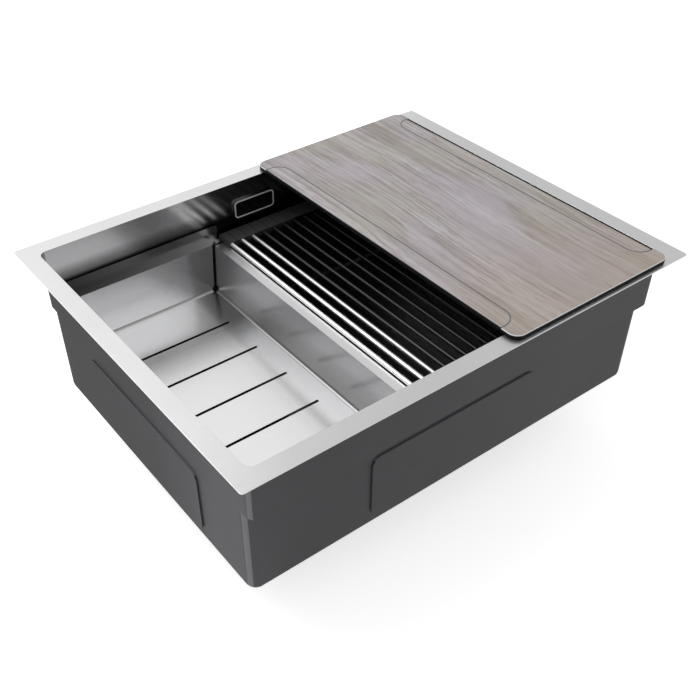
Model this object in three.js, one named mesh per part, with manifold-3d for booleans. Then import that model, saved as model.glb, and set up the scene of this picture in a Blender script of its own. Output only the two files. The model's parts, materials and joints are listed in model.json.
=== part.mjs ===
// A stainless workstation kitchen sink: flat rim, stepped bowl with a runner ledge,
// overflow, basket waste, lift-out colander, roll-up draining mat and sliding board.
// Millimetres, +Z up, +X to the right along the rim, +Y from front to back.
// The origin is the centre of the rim's underside, the plane of the worktop.
import * as THREE from "three";
import { mergeVertices } from "three/addons/utils/BufferGeometryUtils.js";
import Module from "manifold-3d";

const wasm = await Module();
wasm.setup();

// ---------------------------------------------------------------- driving sizes

const seatGap = 0.3; // left between a piece and what it rests on
const past = 1; // how far a cutting body passes the face it opens

// Steps along an arc; an arc in an outline gets twice the number given here.
const facets = { corner: 3, slot: 2, hole: 4, pipe: 6, large: 14, turned: 28, ring: 24, small: 14 };

const rim = { length: 650, depth: 510, width: 23, thickness: 1.5, cornerRadius: 4 };
const opening = { cornerRadius: 10 };
opening.halfX = rim.length / 2 - rim.width;
opening.halfY = rim.depth / 2 - rim.width;

const sheet = 1.5; // thickness of the bowl's steel
const ledge = { drop: 73.5, width: 11.5 }; // drop is from the rim's top face
const bowl = {
  depth: 202, // rim's top face to the underside of the floor's edge
  cornerRadius: 12,
  floorRadius: 7,
  floorFall: 3,
};
const recess = { radius: 58, depth: 4, wallDraft: 1.5, holeRadius: 45.5 };

const pad = {
  length: 252,
  height: 91,
  thickness: 2,
  cornerRadius: 12,
  belowRim: 94,
  frontCentre: -15,
  floorInset: 55, // from the bowl's walls
  wasteGap: 19, // from the waste's gasket
  floorCornerRadius: 20,
};

const overflow = {
  centre: 12.75,
  belowRim: 40,
  height: 26,
  cornerRadius: 6,
  proud: 4,
  skin: 1.4,
  borderWidth: 2.2,
  borderHeight: 0.8,
  wallHoleLength: 44,
  wallHoleHeight: 12,
  screwMargin: 5, // from an end of the wall's hole to a screw
  endMargin: 5.9, // from a screw to an end of the cover
  gasketThickness: 2,
  housingDepth: 17,
  housingWall: 3,
  spigotRadius: 8.4,
  spigotBore: 6.4,
  spigotLength: 44,
  barbCount: 4,
  barbHeight: 0.9,
  barbPitch: 7,
};
overflow.screwSpacing = overflow.wallHoleLength + 2 * overflow.screwMargin;
overflow.length = overflow.screwSpacing + 2 * overflow.endMargin;

const screw = {
  shaftRadius: 1.9,
  headRadius: 3.4,
  headTaper: 0.8,
  headHeight: 1.7,
  holeRadius: 2.3,
  endWall: 2, // plastic left past its tip
};

const waste = {
  flangeRadius: 56,
  flangeThickness: 1,
  flangeEdge: 1, // bevel round its rim, seen from above
  sealThickness: 1,
  sealInset: 1,
  cupRadius: 42,
  cupDepth: 33,
  cupTaper: 2,
  cupFold: 2.5, // bend between the flange and the cup
  cupFootFold: 2,
  floorHoleRadius: 7,
  floorHoleCircle: 20,
  floorHoles: 6,
  gasketThickness: 3,
  bodyWall: 3,
  bodyFlange: 4,
  bodyDepth: 36,
  coneDepth: 16,
  outletRadius: 23.9,
  outletBore: 20,
  outletLength: 26,
  inletRadius: 10,
  inletBore: 7.5,
  inletLength: 34,
  inletBelowFlange: 4,
  bridgeHeight: 10, // of the web across the outlet that holds the clamp's boss
  bridgeWidth: 4,
  bossHeight: 16,
  clampRadius: 3,
  clampHeadRadius: 6,
  clampHeadHeight: 1.6,
  clampBossRadius: 7,
  clampLength: 7, // below the cone's foot
};

const basket = {
  rimRadius: 39.5,
  cupRadius: 34,
  depth: 27,
  thickness: 1,
  holeRadius: 2.6,
  holeCircles: [13, 23],
  holesInCircle: [8, 12],
  foldRadius: 3,
  lift: 2, // between the waste's floor and its seal
  sealRadius: 30,
  sealThickness: 2.5,
  stemRadius: 3,
  knobRadius: 11,
  knobEdge: 2,
  knobBand: 2,
  knobHeight: 12, // from the cone under the knob to its top
  knobAboveRim: 9,
};

const colander = {
  sheet: 1,
  flange: 14, // the turned-out edge on the short sides
  endGap: 1, // between its left flange and the bowl's end wall
  wallGap: 1, // between its walls and the bowl, front and back
  length: 251, // over both flanges
  depth: 68,
  taper: 8.5, // how far each wall leans in from top to bottom
  cornerRadius: 1.5,
  sharpest: 0.4, // smallest radius left where a corner meets the bottom fold
  foldRadius: 3.5,
  upstand: 20.5,
  upstandRadius: 4,
  slit: 3.6,
  slitReach: 40,
  reliefRadius: 5.2,
  reliefHeight: 6,
  slotWidth: 4.2,
  slotPitch: 67.5,
  slotCount: 5,
  slotMargin: 26,
  slotEndRadius: 0.9,
};

const mat = {
  colanderGap: 0.5,
  bars: 14,
  links: 4, // bars at the right end that roll up
  pitch: 17.45,
  barRadius: 3,
  barWall: 0.8,
  edgeWall: 0.5, // silicone left of the first bar
  barInBlock: 14.5,
  blockLength: 29,
  blockHeight: 8,
  wallGap: 4.5, // between its ends and the bowl's upper walls
  boreGap: 0.3,
  hingeGap: 0.8,
  grooveDepth: 2.5,
  endRadius: 2.4,
  footBevel: 0.6,
  notchRadius: 1.8,
};

const board = {
  rimMargin: 4.5, // between its ends and the rim's front and back edges
  width: 261,
  endGap: 7.5, // between its right edge and the opening's end
  coreThickness: 4.9,
  topThickness: 0.8,
  glueLine: 0.05, // between the core and the wood-look layer
  cornerRadius: 13,
  chamfer: 0.7,
  gripWidth: 27,
  gripLength: 453,
  gripRadius: 20,
  gripSetback: 1.2, // of the wood-look layer's edge along each grip land
  grooveWidth: 1.8,
  grooveDepth: 0.5,
};

// ------------------------------------------------------------- derived heights

const rimTop = rim.thickness;
const ledgeTop = rimTop - ledge.drop;
const floorUnder = rimTop - bowl.depth;
const floorTop = floorUnder + sheet;
const recessTop = floorTop - bowl.floorFall - recess.depth;
const lower = { halfX: opening.halfX, halfY: opening.halfY - ledge.width };

// ------------------------------------------------------------------- materials

const finish = (color, roughness, metalness) =>
  new THREE.MeshStandardMaterial({ color, roughness, metalness });
const satinSteel = finish(0xd2d4d5, 0.35, 1);
const coatedSteel = finish(0x4c4b4f, 0.8, 0.1);
const polishedSteel = finish(0xdadcde, 0.12, 1);
const blackRubber = finish(0x2c2d30, 0.75, 0);
const greySilicone = finish(0x3a3b3e, 0.6, 0);
const blackPlastic = finish(0x1b1c1e, 0.5, 0);
const blackCore = finish(0x0c0c0d, 0.5, 0);
const woodLook = finish(0xb0a69f, 0.55, 0);

// ------------------------------------------------------------- solid toolbox

function solid(geometry) {
  const bare = geometry.index ? geometry.toNonIndexed() : geometry.clone();
  bare.deleteAttribute("normal");
  bare.deleteAttribute("uv");
  const merged = mergeVertices(bare, 1e-4);
  return new wasm.Manifold(
    new wasm.Mesh({
      numProp: 3,
      vertProperties: merged.attributes.position.array,
      triVerts: new Uint32Array(merged.index.array),
    }),
  );
}

const sceneGroup = new THREE.Group();

function place(name, body, material, parent = sceneGroup) {
  const mesh = body.getMesh();
  const positions = new Float32Array(mesh.numVert * 3);
  for (let i = 0; i < mesh.numVert; i++) {
    positions.set(mesh.vertProperties.subarray(i * mesh.numProp, i * mesh.numProp + 3), i * 3);
  }
  const geometry = new THREE.BufferGeometry();
  geometry.setAttribute("position", new THREE.BufferAttribute(positions, 3));
  geometry.setIndex(new THREE.BufferAttribute(new Uint32Array(mesh.triVerts), 1));
  geometry.computeVertexNormals();
  const node = new THREE.Mesh(geometry, material);
  node.name = name;
  parent.add(node);
  return node;
}

function roundedRect(halfX, halfY, radius, centreX = 0, centreY = 0) {
  const shape = new THREE.Shape();
  const corner = (sx, sy, from) =>
    shape.absarc(
      centreX + sx * (halfX - radius),
      centreY + sy * (halfY - radius),
      radius,
      from,
      from + Math.PI / 2,
      false,
    );
  corner(1, 1, 0);
  corner(-1, 1, Math.PI / 2);
  corner(-1, -1, Math.PI);
  corner(1, -1, -Math.PI / 2);
  shape.closePath();
  return shape;
}

function circle(radius, centreX = 0, centreY = 0) {
  const shape = new THREE.Shape();
  shape.absarc(centreX, centreY, radius, 0, 2 * Math.PI, false);
  return shape;
}

function extrude(shape, depth, curveSegments = facets.corner) {
  return new THREE.ExtrudeGeometry(shape, { depth, bevelEnabled: false, curveSegments });
}

// A prism standing on the XY plane between two heights.
const prism = (shape, low, high, segments) =>
  solid(extrude(shape, high - low, segments).translate(0, 0, low));

// A prism running along Y, whose outline is drawn in X and Z.
const prismY = (shape, low, high, segments) =>
  solid(extrude(shape, high - low, segments).rotateX(Math.PI / 2).translate(0, high, 0));

// A prism running along X, whose outline is drawn in Y and Z.
function prismX(shape, low, high, segments) {
  const turn = new THREE.Matrix4().makeBasis(
    new THREE.Vector3(0, 1, 0),
    new THREE.Vector3(0, 0, 1),
    new THREE.Vector3(1, 0, 0),
  );
  return solid(extrude(shape, high - low, segments).applyMatrix4(turn).translate(low, 0, 0));
}

function box(lowX, highX, lowY, highY, lowZ, highZ) {
  const geometry = new THREE.BoxGeometry(highX - lowX, highY - lowY, highZ - lowZ);
  geometry.translate((lowX + highX) / 2, (lowY + highY) / 2, (lowZ + highZ) / 2);
  return solid(geometry);
}

// A body of revolution about Z from [radius, height] points, bottom to top outside.
function turned(profile, segments = facets.turned) {
  const points = profile.map(([radius, height]) => new THREE.Vector2(radius, height));
  points.push(points[0].clone());
  return solid(new THREE.LatheGeometry(points, segments).rotateX(Math.PI / 2));
}

// A closed skin over rings of equal point counts, listed from the lowest up.
function loft(rings) {
  const count = rings[0].length;
  const positions = [];
  const indices = [];
  rings.forEach((ring) => ring.forEach((point) => positions.push(...point)));
  for (let level = 0; level + 1 < rings.length; level++) {
    for (let i = 0; i < count; i++) {
      const next = (i + 1) % count;
      const a = level * count + i;
      const b = level * count + next;
      indices.push(a, b, b + count, a, b + count, a + count);
    }
  }
  const top = (rings.length - 1) * count;
  for (let i = 1; i + 1 < count; i++) {
    indices.push(0, i + 1, i);
    indices.push(top, top + i, top + i + 1);
  }
  const geometry = new THREE.BufferGeometry();
  geometry.setAttribute("position", new THREE.Float32BufferAttribute(positions, 3));
  geometry.setIndex(indices);
  return solid(geometry);
}

const cornerSteps = 2 * facets.corner;
const foldSteps = 4;

function rectRing(halfX, halfY, radius, z, centreX = 0, steps = cornerSteps) {
  const ring = [];
  const signs = [[1, 1], [-1, 1], [-1, -1], [1, -1]];
  signs.forEach(([sx, sy], corner) => {
    for (let step = 0; step <= steps; step++) {
      const angle = ((corner + step / steps) * Math.PI) / 2;
      ring.push([
        centreX + sx * (halfX - radius) + radius * Math.cos(angle),
        sy * (halfY - radius) + radius * Math.sin(angle),
        z,
      ]);
    }
  });
  return ring;
}

function roundRing(radius, z) {
  const count = 4 * (cornerSteps + 1);
  return Array.from({ length: count }, (_, i) => {
    const angle = ((i + 0.5) / count) * 2 * Math.PI;
    return [radius * Math.cos(angle), radius * Math.sin(angle), z];
  });
}

const cylinder = (radius, low, high, x = 0, y = 0, segments = facets.hole) =>
  prism(circle(radius, x, y), low, high, segments);

const ring = (outer, inner, low, high) =>
  turned([[inner, low], [outer, low], [outer, high], [inner, high]], facets.ring);

// A box between two corners in X and Y given in any order.
const boxBetween = (x1, x2, y1, y2, low, high) =>
  box(Math.min(x1, x2), Math.max(x1, x2), Math.min(y1, y2), Math.max(y1, y2), low, high);

// ---------------------------------------------------------------- rim and bowl

const bowlOutside = () =>
  roundedRect(opening.halfX + sheet, opening.halfY + sheet, opening.cornerRadius + sheet);

// The rim is welded round the top of the bowl's upper walls.
function makeRim() {
  const outline = roundedRect(rim.length / 2, rim.depth / 2, rim.cornerRadius);
  outline.holes.push(bowlOutside());
  place("rim_plate", prism(outline, 0, rimTop), satinSteel);
}

const overflowHeight = rimTop - overflow.belowRim;
const overflowOutline = (inset) =>
  roundedRect(
    overflow.length / 2 - inset,
    overflow.height / 2 - inset,
    Math.max(overflow.cornerRadius - inset, 1),
    overflow.centre,
    overflowHeight,
  );
const overflowScrews = [-1, 1].map((side) => overflow.centre + (side * overflow.screwSpacing) / 2);
const overflowWater = () =>
  roundedRect(
    overflow.wallHoleLength / 2,
    overflow.wallHoleHeight / 2,
    overflow.wallHoleHeight / 2,
    overflow.centre,
    overflowHeight,
  );

function drillForOverflow(body, from, to) {
  let drilled = body.subtract(prismY(overflowWater(), from, to));
  overflowScrews.forEach((x) => {
    const hole = circle(screw.holeRadius, x, overflowHeight);
    drilled = drilled.subtract(prismY(hole, from, to, facets.hole));
  });
  return drilled;
}

// The upper walls and the inward ledge that the accessories slide on: four folded
// sheets, welded where the rounded corners begin.
function makeUpperBowl() {
  const inside = roundedRect(opening.halfX, opening.halfY, opening.cornerRadius);
  const throat = roundedRect(lower.halfX, lower.halfY, bowl.cornerRadius);
  const walls = prism(bowlOutside(), ledgeTop - sheet, rimTop)
    .subtract(prism(inside, ledgeTop, rimTop + past))
    .subtract(prism(throat, ledgeTop - sheet - past, ledgeTop + past));
  const drilled = drillForOverflow(walls, opening.halfY - past, opening.halfY + sheet + past);
  const seam = opening.halfX - Math.max(opening.cornerRadius, bowl.cornerRadius);
  const sheetBetween = (lowX, highX, lowY, highY) =>
    drilled.intersect(box(lowX, highX, lowY, highY, ledgeTop - sheet - past, rimTop + past));
  place("upper_wall_front", sheetBetween(-seam, seam, -rim.depth, 0), satinSteel);
  place("upper_wall_back", sheetBetween(-seam, seam, 0, rim.depth), satinSteel);
  place("upper_wall_left", sheetBetween(-rim.length, -seam, -rim.depth, rim.depth), satinSteel);
  place("upper_wall_right", sheetBetween(seam, rim.length, -rim.depth, rim.depth), satinSteel);
}

// One face of the lower bowl; grow is 0 for its inside and the sheet for its outside.
function bowlFace(grow, top) {
  const halfX = lower.halfX + grow;
  const halfY = lower.halfY + grow;
  const corner = bowl.cornerRadius + grow;
  const fillet = bowl.floorRadius + grow;
  const edge = floorTop - grow;
  const middle = edge - bowl.floorFall;
  const rings = [
    roundRing(recess.radius + grow, middle - recess.depth),
    roundRing(recess.radius + recess.wallDraft + grow, middle),
  ];
  for (let step = 0; step <= foldSteps; step++) {
    const angle = (step / foldSteps) * (Math.PI / 2);
    const inset = fillet * (1 - Math.sin(angle));
    rings.push(
      rectRing(halfX - inset, halfY - inset, corner - inset, edge + fillet * (1 - Math.cos(angle))),
    );
  }
  rings.push(rectRing(halfX, halfY, corner, top));
  return loft(rings);
}

function makeLowerBowl() {
  const top = ledgeTop - sheet;
  const hole = circle(recess.holeRadius);
  const shell = bowlFace(sheet, top)
    .subtract(bowlFace(0, top + past))
    .subtract(prism(hole, recessTop - sheet - past, recessTop + past, facets.large));
  place("lower_bowl", shell, satinSteel);
}

// -------------------------------------------------- sound-deadening pads

function makePads() {
  const middle = rimTop - pad.belowRim - pad.height / 2;
  const face = (centre) =>
    roundedRect(pad.length / 2, pad.height / 2, pad.cornerRadius, centre, middle);
  const wallY = lower.halfY + sheet + seatGap;
  const wallX = lower.halfX + sheet + seatGap;
  const outY = wallY + pad.thickness;
  const outX = wallX + pad.thickness;
  place("pad_front", prismY(face(pad.frontCentre), -outY, -wallY), coatedSteel);
  place("pad_back", prismY(face(pad.frontCentre), wallY, outY), coatedSteel);
  place("pad_left", prismX(face(0), -outX, -wallX), coatedSteel);
  place("pad_right", prismX(face(0), wallX, outX), coatedSteel);

  // The floor pads follow the fall of the floor on each side of the waste.
  const underFloor = (drop) => bowlFace(sheet, ledgeTop).translate([0, 0, -drop]);
  const skin = underFloor(seatGap + pad.thickness).subtract(underFloor(seatGap));
  const far = lower.halfX - pad.floorInset;
  const near = waste.flangeRadius + pad.wasteGap;
  const floorPad = (side) =>
    skin.intersect(
      prism(
        roundedRect(
          (far - near) / 2,
          lower.halfY - pad.floorInset,
          pad.floorCornerRadius,
          (side * (far + near)) / 2,
        ),
        recessTop - 2 * (sheet + pad.thickness),
        floorUnder + past,
      ),
    );
  place("pad_floor_left", floorPad(-1), coatedSteel);
  place("pad_floor_right", floorPad(1), coatedSteel);
}

// ------------------------------------------------------------------- overflow

function makeOverflow() {
  const wall = opening.halfY;
  const front = wall - overflow.proud;
  const back = wall - seatGap;

  // The cover is a shallow pan with a raised border, open along its lower edge.
  const inside = prismY(overflowOutline(overflow.skin), front + overflow.skin, wall + past);
  const panel = overflowOutline(overflow.borderWidth);
  const mouth = box(
    overflow.centre - overflow.wallHoleLength / 2,
    overflow.centre + overflow.wallHoleLength / 2,
    front + overflow.skin,
    wall + past,
    overflowHeight - overflow.height / 2 - past,
    overflowHeight,
  );
  const cover = prismY(overflowOutline(0), front, back)
    .subtract(inside)
    .subtract(prismY(panel, front - past, front + overflow.borderHeight))
    .subtract(mouth);
  place("overflow_cover", cover, polishedSteel);

  const gasketFront = wall + sheet + seatGap;
  const gasketBack = gasketFront + overflow.gasketThickness;
  const gasket = prismY(overflowOutline(0), gasketFront, gasketBack);
  const drilledGasket = drillForOverflow(gasket, gasketFront - past, gasketBack + past);
  place("overflow_gasket", drilledGasket, blackRubber);

  // The housing behind the wall turns the water down into a hose tail.
  const housingFront = gasketBack + seatGap;
  const housingBack = housingFront + overflow.housingDepth;
  const spigotY = (housingFront + housingBack) / 2;
  const housingBottom = overflowHeight - overflow.height / 2;
  const spigotEnd = housingBottom - overflow.spigotLength;
  const root = overflow.spigotRadius - overflow.barbHeight;
  const tailTop = housingBottom + overflow.housingWall;
  const barbed = [[0, spigotEnd], [root, spigotEnd]];
  for (let i = 1; i <= overflow.barbCount; i++) {
    const peak = spigotEnd + i * overflow.barbPitch;
    barbed.push([overflow.spigotRadius, peak - overflow.barbHeight], [root, peak]);
  }
  barbed.push([root, tailTop], [0, tailTop]);
  const tail = turned(barbed, facets.small).translate([overflow.centre, spigotY, 0]);
  const boreOutline = circle(overflow.spigotBore, overflow.centre, spigotY);
  const water = prismY(overflowWater(), housingFront - past, housingBack - overflow.housingWall);
  let housing = prismY(overflowOutline(0), housingFront, housingBack)
    .add(tail)
    .subtract(water)
    .subtract(prism(boreOutline, spigotEnd - past, overflowHeight, facets.pipe));
  const shaftTip = housingBack - screw.endWall;
  overflowScrews.forEach((x) => {
    const hole = circle(screw.shaftRadius + seatGap, x, overflowHeight);
    const drill = prismY(hole, housingFront - past, shaftTip + screw.endWall / 2, facets.hole);
    housing = housing.subtract(drill);
  });
  place("overflow_housing", housing, blackPlastic);

  // Two screws behind the cover clamp the housing to the wall.
  const shaftLength = shaftTip - wall;
  const profile = [
    [0, -shaftLength],
    [screw.shaftRadius, -shaftLength],
    [screw.shaftRadius, seatGap],
    [screw.headRadius, seatGap],
    [screw.headRadius - screw.headTaper, seatGap + screw.headHeight],
    [0, seatGap + screw.headHeight],
  ];
  ["overflow_screw_left", "overflow_screw_right"].forEach((name, i) => {
    const group = new THREE.Group();
    group.position.set(overflowScrews[i], wall, overflowHeight);
    group.rotation.x = Math.PI / 2;
    sceneGroup.add(group);
    place(name, turned(profile, facets.small), polishedSteel, group);
  });
}

// ----------------------------------------------------------------- basket waste

const sealTop = recessTop + seatGap + waste.sealThickness;
const flangeUnder = sealTop + seatGap;
const flangeTop = flangeUnder + waste.flangeThickness;
const cupFloorTop = flangeTop - waste.cupDepth;

function makeWaste() {
  const skin = waste.flangeThickness;
  const cupFoot = waste.cupRadius - waste.cupTaper;
  const clampHoleRadius = waste.clampRadius + seatGap;
  const sealHole = recess.holeRadius + waste.sealInset;
  const seal = ring(
    waste.flangeRadius - waste.sealInset,
    sealHole,
    recessTop + seatGap,
    sealTop,
  );
  place("flange_seal", seal, blackRubber);

  // The flange and its cup, with drain holes round the clamp screw.
  let cup = turned([
    [clampHoleRadius, cupFloorTop - skin],
    [cupFoot + skin - waste.cupFootFold, cupFloorTop - skin],
    [cupFoot + skin, cupFloorTop + waste.cupFootFold - skin],
    [waste.cupRadius + skin, flangeUnder - waste.cupFold],
    [waste.cupRadius + skin + waste.cupFold, flangeUnder],
    [waste.flangeRadius, flangeUnder],
    [waste.flangeRadius, flangeTop - skin / 2],
    [waste.flangeRadius - waste.flangeEdge, flangeTop],
    [waste.cupRadius + waste.cupFold, flangeTop],
    [waste.cupRadius, flangeTop - waste.cupFold],
    [cupFoot, cupFloorTop + waste.cupFootFold],
    [cupFoot - waste.cupFootFold, cupFloorTop],
    [clampHoleRadius, cupFloorTop],
  ]);
  for (let i = 0; i < waste.floorHoles; i++) {
    const angle = (i / waste.floorHoles) * 2 * Math.PI;
    const x = waste.floorHoleCircle * Math.cos(angle);
    const y = waste.floorHoleCircle * Math.sin(angle);
    const low = cupFloorTop - skin - past;
    const hole = cylinder(waste.floorHoleRadius, low, cupFloorTop + past, x, y, facets.pipe);
    cup = cup.subtract(hole);
  }
  place("waste_flange", cup, polishedSteel);

  const gasketTop = recessTop - sheet - seatGap;
  const gasketUnder = gasketTop - waste.gasketThickness;
  place("waste_gasket", ring(waste.flangeRadius, sealHole, gasketUnder, gasketTop), blackRubber);

  // The plastic waste body: cup, cone, threaded outlet and an inlet for the overflow.
  const top = gasketUnder - seatGap;
  const bodyFoot = top - waste.bodyDepth;
  const coneFoot = bodyFoot - waste.coneDepth;
  const outletEnd = coneFoot - waste.outletLength;
  const innerRadius = recess.holeRadius;
  const outerRadius = innerRadius + waste.bodyWall;
  const body = turned([
    [waste.outletBore, outletEnd],
    [waste.outletRadius, outletEnd],
    [waste.outletRadius, coneFoot],
    [outerRadius, bodyFoot],
    [outerRadius, top - waste.bodyFlange],
    [waste.flangeRadius, top - waste.bodyFlange],
    [waste.flangeRadius, top],
    [innerRadius, top],
    [innerRadius, bodyFoot],
    [waste.outletBore, coneFoot],
  ]);
  const inletHeight = top - waste.bodyFlange - waste.inletBelowFlange - waste.inletRadius;
  const inletEnd = outerRadius + waste.inletLength;
  const inletPipe = circle(waste.inletRadius, 0, inletHeight);
  const inletWater = circle(waste.inletBore, 0, inletHeight);
  const inlet = prismY(inletPipe, innerRadius + past, inletEnd, facets.pipe);
  const inletBore = prismY(inletWater, innerRadius / 2, inletEnd + past, facets.pipe);

  // A web across the outlet carries the boss of the screw that clamps the two halves.
  const bridgeFoot = coneFoot - waste.bridgeHeight;
  const bossTop = bridgeFoot + waste.bossHeight;
  const halfBridge = waste.bridgeWidth / 2;
  const bridge = box(
    -waste.outletBore - past,
    waste.outletBore + past,
    -halfBridge,
    halfBridge,
    bridgeFoot,
    coneFoot,
  );
  const boss = prism(circle(waste.clampBossRadius), bridgeFoot, bossTop, facets.pipe);
  const clampTip = coneFoot - waste.clampLength;
  const clampHole = prism(circle(clampHoleRadius), clampTip - past, bossTop + past, facets.pipe);
  const wasteBody = body
    .add(inlet)
    .subtract(inletBore)
    .add(bridge)
    .add(boss)
    .subtract(clampHole);
  place("waste_body", wasteBody, blackPlastic);

  const headUnder = cupFloorTop + seatGap;
  const headTop = headUnder + waste.clampHeadHeight;
  const clamp = turned(
    [
      [0, clampTip],
      [waste.clampRadius, clampTip],
      [waste.clampRadius, headUnder],
      [waste.clampHeadRadius, headUnder],
      [waste.clampHeadRadius - waste.clampHeadHeight / 2, headTop],
      [0, headTop],
    ],
    facets.small,
  );
  place("clamp_screw", clamp, polishedSteel);
}

function makeBasket() {
  const sealUnder = cupFloorTop + seatGap + basket.lift;
  const sealTopFace = sealUnder + basket.sealThickness;
  const floorUnderside = sealTopFace + seatGap;
  const floorFace = floorUnderside + basket.thickness;
  const rimFace = floorFace + basket.depth;
  const skin = basket.thickness;
  const stemHole = basket.stemRadius + seatGap;
  place("basket_seal", ring(basket.sealRadius, stemHole, sealUnder, sealTopFace), blackRubber);

  const fold = basket.foldRadius;
  const mouth = (basket.cupRadius + basket.rimRadius) / 2 - skin;
  let cup = turned(
    [
      [stemHole, floorUnderside],
      [basket.cupRadius - fold, floorUnderside],
      [basket.cupRadius, floorUnderside + fold],
      [mouth, rimFace - fold],
      [basket.rimRadius, rimFace - skin],
      [basket.rimRadius, rimFace],
      [mouth - skin, rimFace - fold + skin],
      [basket.cupRadius - skin, floorUnderside + fold],
      [basket.cupRadius - fold, floorFace],
      [stemHole, floorFace],
    ],
    facets.ring,
  );
  basket.holeCircles.forEach((radius, row) => {
    const count = basket.holesInCircle[row];
    for (let i = 0; i < count; i++) {
      const angle = ((i + row / 2) / count) * 2 * Math.PI;
      const x = radius * Math.cos(angle);
      const y = radius * Math.sin(angle);
      const hole = cylinder(basket.holeRadius, floorUnderside - past, floorFace + past, x, y);
      cup = cup.subtract(hole);
    }
  });
  place("basket_cup", cup, polishedSteel);

  const knobTop = rimFace + basket.knobAboveRim;
  const bandTop = knobTop - basket.knobEdge;
  const knob = turned(
    [
      [0, sealUnder],
      [basket.stemRadius, sealUnder],
      [basket.stemRadius, knobTop - basket.knobHeight],
      [basket.knobRadius, bandTop - basket.knobBand],
      [basket.knobRadius, bandTop],
      [basket.knobRadius - basket.knobEdge, knobTop],
      [0, knobTop],
    ],
    facets.ring,
  );
  place("basket_knob", knob, polishedSteel);
}

// ------------------------------------------------------------------- colander

const colanderLeft = -opening.halfX + colander.endGap;
const colanderRight = colanderLeft + colander.length;
const colanderCentre = (colanderLeft + colanderRight) / 2;
const lipUnder = ledgeTop + seatGap;
const lipTop = lipUnder + colander.sheet;
const colanderInner = {
  halfX: colander.length / 2 - colander.flange,
  halfY: lower.halfY - colander.wallGap - colander.sheet,
};
const lipHalfY = opening.halfY - colander.wallGap;

// One face of the leaning tray; grow is 0 for its inside and the sheet for its outside.
function trayFace(grow, top) {
  const bottom = lipTop - colander.depth - grow;
  const fillet = colander.foldRadius + grow;
  const corner = colander.cornerRadius + grow;
  const lean = (z) => (colander.taper * (lipTop - z)) / colander.depth;
  const section = (inset, radius, z) =>
    rectRing(
      colanderInner.halfX + grow - inset,
      colanderInner.halfY + grow - inset,
      radius,
      z,
      colanderCentre,
      facets.slot,
    );
  const rings = [];
  for (let step = 0; step <= foldSteps; step++) {
    const angle = (step / foldSteps) * (Math.PI / 2);
    const z = bottom + fillet * (1 - Math.cos(angle));
    const inset = fillet * (1 - Math.sin(angle));
    rings.push(section(inset + lean(z), Math.max(corner - inset, colander.sharpest), z));
  }
  rings.push(section(lean(top), corner, top));
  return loft(rings);
}

function makeColander() {
  const { halfX, halfY } = colanderInner;
  const bottom = lipTop - colander.depth;
  const left = colanderCentre - halfX;
  const right = colanderCentre + halfX;
  const lip = roundedRect(
    colander.length / 2,
    lipHalfY,
    opening.cornerRadius - Math.min(colander.endGap, colander.wallGap),
    colanderCentre,
  );
  const mouth = box(left, right, -halfY, halfY, lipUnder - past, lipTop + past);
  let tray = trayFace(colander.sheet, lipTop)
    .add(prism(lip, lipUnder, lipTop).subtract(mouth))
    .subtract(trayFace(0, lipTop + past));

  // The upstands along the front and back walls rise from the lip, have round upper
  // corners, and stop short of the bowl's rounded corner at the left.
  const upstandLeft = colanderLeft + opening.cornerRadius;
  const upstandShape = roundedRect(
    (colanderRight - upstandLeft) / 2,
    (colander.upstand + colander.upstandRadius) / 2,
    colander.upstandRadius,
    (colanderRight + upstandLeft) / 2,
    lipTop + (colander.upstand - colander.upstandRadius) / 2,
  );
  const belowLip = box(
    colanderLeft - past,
    colanderRight + past,
    -lipHalfY - past,
    lipHalfY + past,
    lipUnder - colander.depth,
    lipTop,
  );
  const sides = { front: -1, back: 1 };
  Object.entries(sides).forEach(([name, side]) => {
    const inner = side * (lipHalfY - colander.sheet);
    const outer = side * lipHalfY;
    const upstand = prismY(upstandShape, Math.min(inner, outer), Math.max(inner, outer));
    place(`colander_upstand_${name}`, upstand.subtract(belowLip), satinSteel);
  });

  // Each corner is open: a slit down the fold line, a cut beside the flange, a relief hole.
  const lean = colander.taper;
  const slitHeight = colander.depth + past;
  const keep = lean + colander.sheet + colander.slit / 2;
  const flangeReach = colander.flange + past;
  [-1, 1].forEach((sx) => {
    [-1, 1].forEach((sy) => {
      const x = (offset) => colanderCentre + sx * (halfX + offset);
      const y = (offset) => sy * (halfY + offset);
      const blade = new THREE.BoxGeometry(colander.slitReach, colander.slit, slitHeight);
      blade.rotateZ((sx * sy * Math.PI) / 4);
      blade.translate(x(-lean), y(-lean), bottom + past + slitHeight / 2);
      const inward = boxBetween(
        x(-colander.slitReach),
        x(-keep),
        y(-colander.slitReach),
        y(-keep),
        bottom - past,
        lipTop + 2 * past,
      );
      const beside = boxBetween(
        x(-colander.sheet - seatGap),
        x(flangeReach),
        y(-colander.slit),
        y(0),
        lipUnder - 2 * past,
        lipTop + past,
      );
      const relief = cylinder(
        colander.reliefRadius,
        bottom - colander.sheet - past,
        bottom + colander.reliefHeight,
        x(-lean),
        y(-lean),
      );
      tray = tray.subtract(solid(blade).subtract(inward)).subtract(beside).subtract(relief);
    });
  });

  const slotHalf = halfX - colander.taper - colander.slotMargin;
  for (let i = 0; i < colander.slotCount; i++) {
    const y = (i - (colander.slotCount - 1) / 2) * colander.slotPitch;
    const slot = roundedRect(
      slotHalf,
      colander.slotWidth / 2,
      colander.slotEndRadius,
      colanderCentre,
      y,
    );
    const low = bottom - colander.sheet - past;
    tray = tray.subtract(prism(slot, low, bottom + past, facets.slot));
  }
  place("colander", tray, satinSteel);
}

// ---------------------------------------------------------------- draining mat

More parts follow.
